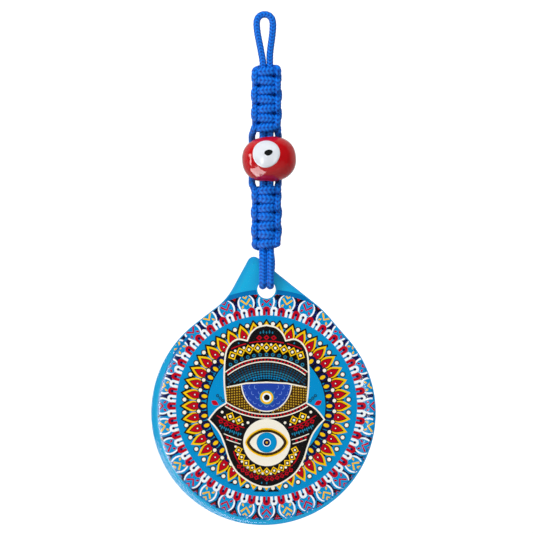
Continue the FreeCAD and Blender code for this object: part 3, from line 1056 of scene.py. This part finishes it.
def leaf(width, length, widest=0.4, count=9):
    # A leaf from (0, 0) up to a point at (0, length)
    power = math.log(0.5) / math.log(widest)
    right = [(width / 2 * math.sin(math.pi * (k / count) ** power), length * k / count) for k in range(count + 1)]
    return right + mirrored(right[1:-1], -1)[::-1]


def almond(width, height, count=14, power=1.35):
    upper = [(width / 2 * math.cos(math.pi * k / count),
              height / 2 * math.sin(math.pi * k / count) ** power) for k in range(count + 1)]
    return upper + [(x, -z) for x, z in reversed(upper[1:-1])]


def lozenge(width, height):
    return [(width / 2, 0), (0, height / 2), (-width / 2, 0), (0, -height / 2)]


def block(width, height, slant=0):
    return [(-width - slant, -height), (width - slant, -height), (width + slant, height), (-width + slant, height)]


def stroke(points, width):
    # The outline of a line of this width through the points
    leftSide = []
    rightSide = []
    for i, (x, z) in enumerate(points):
        beforeX, beforeZ = points[max(i - 1, 0)]
        afterX, afterZ = points[min(i + 1, len(points) - 1)]
        length = math.hypot(afterX - beforeX, afterZ - beforeZ)
        nx, nz = -(afterZ - beforeZ) / length, (afterX - beforeX) / length
        leftSide.append((x + nx * width / 2, z + nz * width / 2))
        rightSide.append((x - nx * width / 2, z - nz * width / 2))
    return leftSide + rightSide[::-1]


def band(inner, outer, fromDegrees, toDegrees, step=2.0, middle=(0, 0)):
    count = max(2, math.ceil(abs(toDegrees - fromDegrees) / step))
    angles = [math.radians(fromDegrees + (toDegrees - fromDegrees) * i / count) for i in range(count + 1)]
    x, z = middle
    there = [(x + outer * math.sin(a), z + outer * math.cos(a)) for a in angles]
    back = [(x + inner * math.sin(a), z + inner * math.cos(a)) for a in reversed(angles)]
    return there + back


def arcLine(radius, width, fromDegrees, toDegrees):
    # A piece of an arc, set with radius 0 as it has its own
    return band(radius - width / 2, radius + width / 2, fromDegrees, toDegrees, 2.5)


def pick(options, i):
    return options[i % len(options)] if isinstance(options, tuple) else options


def inkRow(put, numbers, step, marks, middle=(0, 0), side=1, start=0):
    # Marks repeated along an arc. A mark is its colour, depth, radius, degrees past the place, and shape;
    # a tuple of colours or shapes is taken in turn, and an empty shape leaves a gap.
    for i in numbers:
        for colours, depth, radius, past, shapes in marks:
            put(pick(colours, i), depth, onArc(pick(shapes, i), radius, start + i * step + past, middle, side))


# Outer ring: leaves on navy, the leaves wide near their foot and cut by the rim of the film
leafHalf = [(0.72, -0.9), (0.9, -0.62), (1.0, -0.25), (0.97, 0.12), (0.82, 0.42), (0.55, 0.7), (0.3, 0.95)]


def cutLeaf(wide, long):
    right = [(wide * x, long * z) for x, z in leafHalf]
    return right + mirrored(right, -1)[::-1]


leaves = 32
turn = 360 / leaves
bead = dot(0.42, 8)
seed = leaf(0.75, 1.5)
inkRow(ink, range(leaves), turn, [
    ("navy", 1, 0, 0, band(38.2, 44.0, -turn / 2, turn / 2, 1.5)),
    ("white", 2, 41.2, 0, cutLeaf(3.35, 3.4)),
    ("sky", 3, 41.2, 0, cutLeaf(2.65, 3.3)),
    (("red", "yellow"), 4, 41.2, 0, stroke([(-1.8, 1.0), (0, -0.95), (1.8, 1.0)], 0.75)),
    (("red", "yellow"), 4, 41.2, 0, stroke([(-0.8, 2.2), (0, 1.35), (0.8, 2.2)], 0.6)),
    (("red", "yellow"), 4, 41.2, 0, moved(seed, -1.9, -2.3, 35)),
    (("red", "yellow"), 4, 41.2, 0, moved(seed, 1.9, -2.3, -35)),
    ("black", 2, 43.0, turn / 2, [(-2.1, 1.5), (2.1, 1.5), (0, -1.5)]),
    ("red", 3, 43.2, turn / 2, [(-1.15, 0.95), (1.15, 0.95), (0, -0.8)]),
    ("black", 4, 43.5, turn / 2, lozenge(0.7, 0.7)),
    ("blue", 3, 40.9, turn / 2, bead),
    ("blue", 3, 40.0, turn / 2 - 0.7, bead),
    ("blue", 3, 40.0, turn / 2 + 0.7, bead),
])

# A darker line round the edge of the film
filmMiddle = (0, filmSet["z0"] - filmSet["z"])
ink("border", 5, *[band(43.5, 45.3, a, a + 2, 1.0) for a in range(-62, 62, 2)],
    *[band(41.55, 42.5, a, a + 2, 1.0, filmMiddle) for a in range(46, 314, 2)])

# Arches, red and white in turn
arches = 80
archRight = [(1.34, -1.7), (1.42, 0.3), (1.2, 1.2), (0.5, 1.75)]
archShape = archRight + mirrored(archRight, -1)[::-1] + [(-0.36, -1.7), (-0.3, 0.0), (0.3, 0.0), (0.36, -1.7)]
inkRow(ink, range(arches), 360 / arches, [
    (("red", "white"), 5, 36.95, 0, archShape),
    ("navy", 6, 36.95, 0, moved(oval(1.05, 1.15, 12), 0, 0.2)),
])

# Petals with dots between
petals = 40
turn = 360 / petals
inkRow(ink, range(petals), turn, [
    ("black", 7, 24.9, 0, leaf(5.6, 9.0, 0.42)),
    ("yellow", 8, 25.8, 0, leaf(4.2, 7.2, 0.38)),
    ("black", 9, 25.9, 0, leaf(3.1, 5.7, 0.38)),
    ("red", 10, 26.0, 0, leaf(2.7, 5.1, 0.38)),
    ("darkRed", 11, 28.2, 0, oval(1.0, 1.6, 12)),
    ("white", 12, 28.2, 0, dot(0.55, 10)),
    ("black", 13, 32.0, turn / 2, dot(2.3, 14)),
    ("cream", 14, 32.0, turn / 2, dot(1.55, 14)),
    ("black", 13, 26.45, turn / 2, dot(2.2, 14)),
    ("cream", 14, 26.45, turn / 2, dot(1.45, 14)),
    ("navy", 13, 24.9, 0, oval(3.4, 3.6, 16)),
    ("black", 7, 0, 0, band(22.9, 27.5, -turn / 2, turn / 2, 4.5)),
    ("yellow", 15, 24.45, 0, oval(1.5, 2.3, 14)),
])
ink("black", 14, *[band(22.9, 23.4, a, a + 30) for a in range(0, 360, 30)])
ink("sky", 16, dot(45.8, 96))

# The hand: its outline and a filling of the maker's own in folk bands
handHalf = (
    ((0, 31.7), (3.7, 30.8), (6.4, 28.4), (7.7, 25.7)),
    ((7.7, 25.7), (11.3, 26.2), (14.4, 24.1), (16.2, 20.0), (16.75, 12.1), (16.45, 5.5), (15.9, 1.3)),
    ((15.9, 1.3), (19.6, -1.2), (22.9, -5.3)),
    ((22.9, -5.3), (20.6, -7.7), (18.2, -11.1), (16.3, -15.8), (14.7, -20.8), (11.6, -26.0), (6.6, -29.8),
     (2.6, -31.5), (0, -31.8)),
)
handSet = {"edge": 0.62, "free": 1.25, "sharpest": 0.45, "palmFree": 9.7}


def throughPoints(points, parts=6):
    smooth = []
    for i in range(len(points) - 1):
        before = points[max(i - 1, 0)]
        a, b = points[i], points[i + 1]
        after = points[min(i + 2, len(points) - 1)]
        for k in range(parts):
            t = k / parts
            smooth.append(tuple(
                0.5 * (2 * a[c] + (b[c] - before[c]) * t + (2 * before[c] - 5 * a[c] + 4 * b[c] - after[c]) * t * t
                       + (3 * a[c] - before[c] - 3 * b[c] + after[c]) * t ** 3) for c in (0, 1)))
    return smooth


rightHand = [p for run in handHalf for p in throughPoints(run)]
handOutline = rightHand + mirrored([handHalf[-1][-1]] + rightHand[:0:-1], -1)


def shrunk(shape, by):
    # The shape drawn in by a distance, corners included
    result = []
    count = len(shape)
    for i, (x, z) in enumerate(shape):
        bx, bz = shape[i - 1]
        ax, az = shape[(i + 1) % count]
        before = Vector((x - bx, z - bz)).normalized()
        after = Vector((ax - x, az - z)).normalized()
        bisect = Vector((before.y + after.y, -before.x - after.x)).normalized()
        sharp = max(handSet["sharpest"], bisect.dot(Vector((before.y, -before.x))))
        result.append((x + bisect.x * by / sharp, z + bisect.y * by / sharp))
    return result


def insideShape(x, z, shape):
    found = False
    for (ax, az), (bx, bz) in zip(shape, shape[1:] + shape[:1]):
        if (az > z) != (bz > z) and x < (bx - ax) * (z - az) / (bz - az) + ax:
            found = not found
    return found


ink("cream", 17, handOutline)
ink("black", 18, shrunk(handOutline, handSet["edge"]))
handRoom = shrunk(handOutline, handSet["free"])
palm = (0.1, -14.2)


def inkHand(colour, depth, shape):
    if all(insideShape(x, z, handRoom) for x, z in shape):
        ink(colour, depth, shape)


def inkPalm(colour, depth, shape):
    if all(math.hypot(x - palm[0], z - palm[1]) > handSet["palmFree"] for x, z in shape):
        inkHand(colour, depth, shape)


def rope(middle, radius, reachDegrees, side, depth):
    # Red and black turns between two cream lines
    ropeSet = {"wide": 1.9, "black": 1.05, "pitch": 1.25}
    for colour, wide, over in (("cream", ropeSet["wide"], 0), ("black", ropeSet["black"], 1)):
        ink(colour, depth + over, onArc(arcLine(radius, wide, -reachDegrees, reachDegrees), 0, 0, middle, side))
    count = int(math.radians(2 * reachDegrees) * radius / ropeSet["pitch"])
    step = 2 * reachDegrees / count
    inkRow(ink, range(count), step, [("red", depth + 2, radius, step / 2, moved(block(0.33, 0.42, 0.06), 0.03, 0))],
           middle, side, -reachDegrees)


# Fingers: bands of leaves and lozenges over an arch
archMiddle = (0, -7.0)
sides = [side * i for i in range(7, 14) for side in (-1, 1)]
fingerRows = (
    (range(-5, 6), 1.9, [("teal", 19, 35.1, 0, (leaf(0.6, 1.0), leaf(0.6, 1.6)))]),
    (sides, 1.9, [("teal", 19, 32.8, 0, (leaf(0.6, 0.9), leaf(0.6, 1.3)))]),
    (range(-13, 14), 4.8, [("red", 19, 33.6, 0, lozenge(2.3, 2.1)), ("black", 20, 33.6, 0, lozenge(1.0, 0.9))]),
    (range(-26, 26), 1.2, [("red", 19, 0, 0, arcLine(32.2, 0.42, 0, 1.2))]),
    (range(-9, 10), 6.6, [("yellow", 19, 29.7, 0, lozenge(3.8, 3.9)), ("black", 20, 29.7, 0, lozenge(2.4, 2.5)),
                          ("cream", 21, 29.7, 0, dot(1.1)), ("cream", 21, 30.9, 3.3, dot(0.95))]),
    (range(-10, 11), 5.2, [("teal", 19, 27.0, 0, dot(1.4)), ("black", 20, 27.0, 0, dot(0.7))]),
)
for numbers, step, marks in fingerRows:
    inkRow(inkHand, numbers, step, marks, archMiddle)
rope(archMiddle, 25.0, 38.5, 1, 22)

# A fan of small bricks between the rope and the window's lid
fanSet = {
    "columns": range(-14, 15),
    "turn": 3.1,
    "top": 23.2,
    "drop": 0.9,
    "half": 0.3,
    "widen": 0.03,
    "tones": ("deepTeal",) * 3 + ("teal",) * 2 + ("sky",) * 3,
    "lid": 9.5,
    "lidFall": 2.0,
    "lidWide": 15.6,
    "over": 0.75,
    "widest": 15.2,
}
for i in fanSet["columns"]:
    degrees = i * fanSet["turn"]
    for row, tone in enumerate(fanSet["tones"]):
        radius = fanSet["top"] - row * fanSet["drop"]
        brick = block(fanSet["half"] + fanSet["widen"] * row, fanSet["half"])
        x, z = onArc([(0, 0)], radius, degrees, archMiddle)[0]
        lid = fanSet["lid"] - (x / fanSet["lidWide"]) ** 2 * fanSet["lidFall"]
        if z > lid + fanSet["over"] and abs(x) < fanSet["widest"]:
            ink(tone, 19, onArc(brick, radius, degrees, archMiddle))
            ink("brown", 19, onArc([(a / 2, b) for a, b in brick], radius, degrees + fanSet["turn"] / 2, archMiddle))

# Half-round window under the arch: gold rows, blue scales and an eye spot in the middle
windowSet = {
    "top": 8.9,
    # x and height from the top
    "lid": ((-15.6, -1.4), (-8, 0.2), (0, 0.6), (8, 0.2), (15.6, -1.4), (15.5, -2.0), (8, -0.45), (0, -0.05),
            (-8, -0.45), (-15.5, -2.0)),
    "corner": ((15.5, -1.9), (8, -0.4), (3, -0.2)),
    "cornerR": 28.3,
    "goldR": 28.1,
    "goldDot": 0.62,
    "goldStep": 0.98,
    "goldRows": 14,
    "goldStart": (15.4, -1.75),
    "goldRise": 0.1,
    # clear of the blue half, above the rope and below the lid
    "goldClear": (10.5, 0.35, 0.3),
    "cornerTurns": range(6, 34, 3),
    "white": (19.9, 22.4),
    "blue": (19.0, 21.5),
    "lidGap": 0.05,
    "lidBow": (11, 0.9),
    "scales": ((8.6, 11), (6.4, 8), (4.3, 5)),
    "scaleR": 0.75,
    "scaleLine": 0.22,
    "scaleArc": (0.2, 0.9, 1.6, 2.3, 2.9),
    "scalesFrom": 94,
    "scalesTurn": 172,
    "eye": (0.1, 3.3),
    "eyeRings": ((6.0, "teal", 23), (5.1, "yellow", 24), (3.6, "white", 25), (2.3, "black", 26)),
}
windowTop = windowSet["top"]
ropeMiddle = (0, 25.2)
ink("cream", 19, [(x, windowTop + z) for x, z in windowSet["lid"]])
for side in (-1, 1):
    corner = [onArc([(0, 0)], windowSet["cornerR"], a, ropeMiddle, -1)[0] for a in windowSet["cornerTurns"]]
    corner += [(x, windowTop + z) for x, z in windowSet["corner"]]
    ink("brown", 19, mirrored(corner, side))
    for row in range(windowSet["goldRows"]):
        for spot in range(windowSet["goldRows"]):
            x = side * (windowSet["goldStart"][0] - spot * windowSet["goldStep"])
            z = windowTop + windowSet["goldStart"][1] + spot * windowSet["goldRise"] - row * windowSet["goldStep"]
            lowest = ropeMiddle[1] - math.sqrt(windowSet["goldR"] ** 2 - x * x)
            clear, above, below = windowSet["goldClear"]
            if math.hypot(x, z - windowTop) > clear and lowest + above < z < windowTop - below:
                ink("gold", 20, moved(dot(windowSet["goldDot"], 6), x, z))


def underLid(shape):
    # Kept below the lid line
    wide, fall = windowSet["lidBow"]
    return [(x, min(z, windowTop - windowSet["lidGap"] - (x / wide) ** 2 * fall)) for x, z in shape]


for tone, size, depth in (("cream", windowSet["white"], 20), ("blue", windowSet["blue"], 21)):
    ink(tone, depth, underLid(moved(oval(*size, 72), 0, windowTop)))
scale = stroke([(windowSet["scaleR"] * math.cos(a), windowSet["scaleR"] * math.sin(a))
                for a in windowSet["scaleArc"]], windowSet["scaleLine"])
for radius, spots in windowSet["scales"]:
    step = windowSet["scalesTurn"] / spots
    inkRow(ink, range(spots), step, [("paleBlue", 22, radius, step / 2, scale)], (0, windowTop), 1,
           windowSet["scalesFrom"])
for size, tone, depth in windowSet["eyeRings"]:
    ink(tone, depth, moved(dot(size, 32), *windowSet["eye"]))

# Lower rope, hanging across the palm, and the medallion with an open eye
rope(ropeMiddle, 29.2, 32.5, -1, 27)
medallion = (
    (dot(18.4, 64), "cream", 31),
    (almond(16.8, 11.4), "yellow", 32),
    (almond(15.6, 10.2), "brown", 33),
    (almond(13.2, 8.1), "cream", 34),
    (dot(7.9, 40), "teal", 35),
    (dot(7.4, 40), "sky", 36),
    (dot(3.1, 40), "white", 37),
    (dot(2.5, 40), "navy", 38),
    (dot(0.95, 40), "gold", 39),
)
for shape, tone, depth in medallion:
    ink(tone, depth, moved(shape, *palm))

# Folk bands across the palm under the rope, then round the medallion
palmRows = (
    (range(-10, 11), 6.4, [("yellow", 19, 32.5, 0, lozenge(3.7, 3.8)), ("black", 20, 32.5, 0, lozenge(2.4, 2.5)),
                           ("cream", 21, 32.5, 0, dot(1.1)), ("cream", 21, 33.7, 3.2, dot(0.9))]),
    (range(-16, 17), 3.7, [("red", 19, 35.9, 0, lozenge(2.2, 1.9)), ("black", 20, 35.9, 0, lozenge(1.0, 0.8))]),
    (range(-30, 31), 1.3, [("red", 19, 0, 0, arcLine(34.75, 0.4, 0, 1.3)),
                           ("teal", 19, 37.0, 0, (leaf(0.6, 1.1), leaf(0.6, 1.7))),
                           ("cream", 19, 0, 0, arcLine(39.6, 0.35, 0, 1.3)),
                           ("cream", 19, 0, 0, arcLine(41.2, 0.35, 0, 1.3)),
                           ("red", 19, 40.4, 0, ([], block(0.45, 0.4, 0.05)))]),
)
for numbers, step, marks in palmRows:
    inkRow(inkPalm, numbers, step, marks, ropeMiddle, -1)
medallionRows = (
    (range(-5, 6), 15, [("yellow", 20, 11.3, 0, lozenge(3.2, 3.3)), ("black", 21, 11.3, 0, lozenge(2.0, 2.1)),
                        ("cream", 22, 11.3, 0, dot(0.9)), ("cream", 22, 12.2, 7.5, dot(0.95))]),
    (range(-28, 28), 2.7, [("red", 20, 0, 0, arcLine(13.3, 0.42, 0, 2.7))]),
    (range(-9, 10), 8.2, [("red", 20, 14.3, 0, lozenge(2.0, 1.7)), ("black", 21, 14.3, 0, lozenge(0.9, 0.75))]),
    (range(-20, 21), 3.6, [("teal", 20, 15.4, 0, (leaf(0.55, 0.9), leaf(0.55, 1.4)))]),
)
for numbers, step, marks in medallionRows:
    inkRow(inkHand, numbers, step, marks, palm, 1, 180)

# A leaf and three beads beside each thumb
thumbSet = {"leaf": (1.9, 3.2, 0.55), "leafAt": (18.6, 0.4, 62), "beads": ((17.0, 2.1), (18.0, 3.05), (19.0, 4.0))}
for side in (-1, 1):
    x, z, lean = thumbSet["leafAt"]
    ink("red", 17, moved(leaf(*thumbSet["leaf"]), side * x, z, side * lean))
    for size, tone, depth in ((1.25, "navy", 17), (0.75, "teal", 18)):
        ink(tone, depth, *[moved(dot(size, 10), side * x, z) for x, z in thumbSet["beads"]])

# Each ink becomes one piece, its layers a hair apart
sheets = {}
for (colour, depth), shapes in sorted(layers.items()):
    flat = bpy.data.curves.new("flat", "CURVE")
    flat.dimensions = "2D"
    flat.fill_mode = "BOTH"
    for shape in shapes:
        spline = flat.splines.new("POLY")
        spline.points.add(len(shape) - 1)
        for held, (x, z) in zip(spline.points, shape):
            held.co = (x * mm, z * mm, 0, 1)
        spline.use_cyclic_u = True
    onlySelect(added("flat", flat))
    bpy.ops.object.convert(target="MESH")
    sheet = bpy.context.object
    y = filmSet["face"] - filmSet["layer"] * depth
    for vertex in sheet.data.vertices:
        vertex.co = (vertex.co.x, y * mm, vertex.co.y + filmSet["z"] * mm)
    sheets.setdefault(colour, []).append(sheet)
for colour, made in sheets.items():
    onlySelect(made[0])
    for sheet in made:
        sheet.select_set(True)
    if len(made) > 1:
        bpy.ops.object.join()
    piece = bpy.context.object
    piece.name = "ink" + colour[0].upper() + colour[1:]
    dress(piece, plainMaterial(piece.name, paint(colour)))
    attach(piece, "glass_disc")
print("print made,", sum(len(s) for s in layers.values()), "shapes")
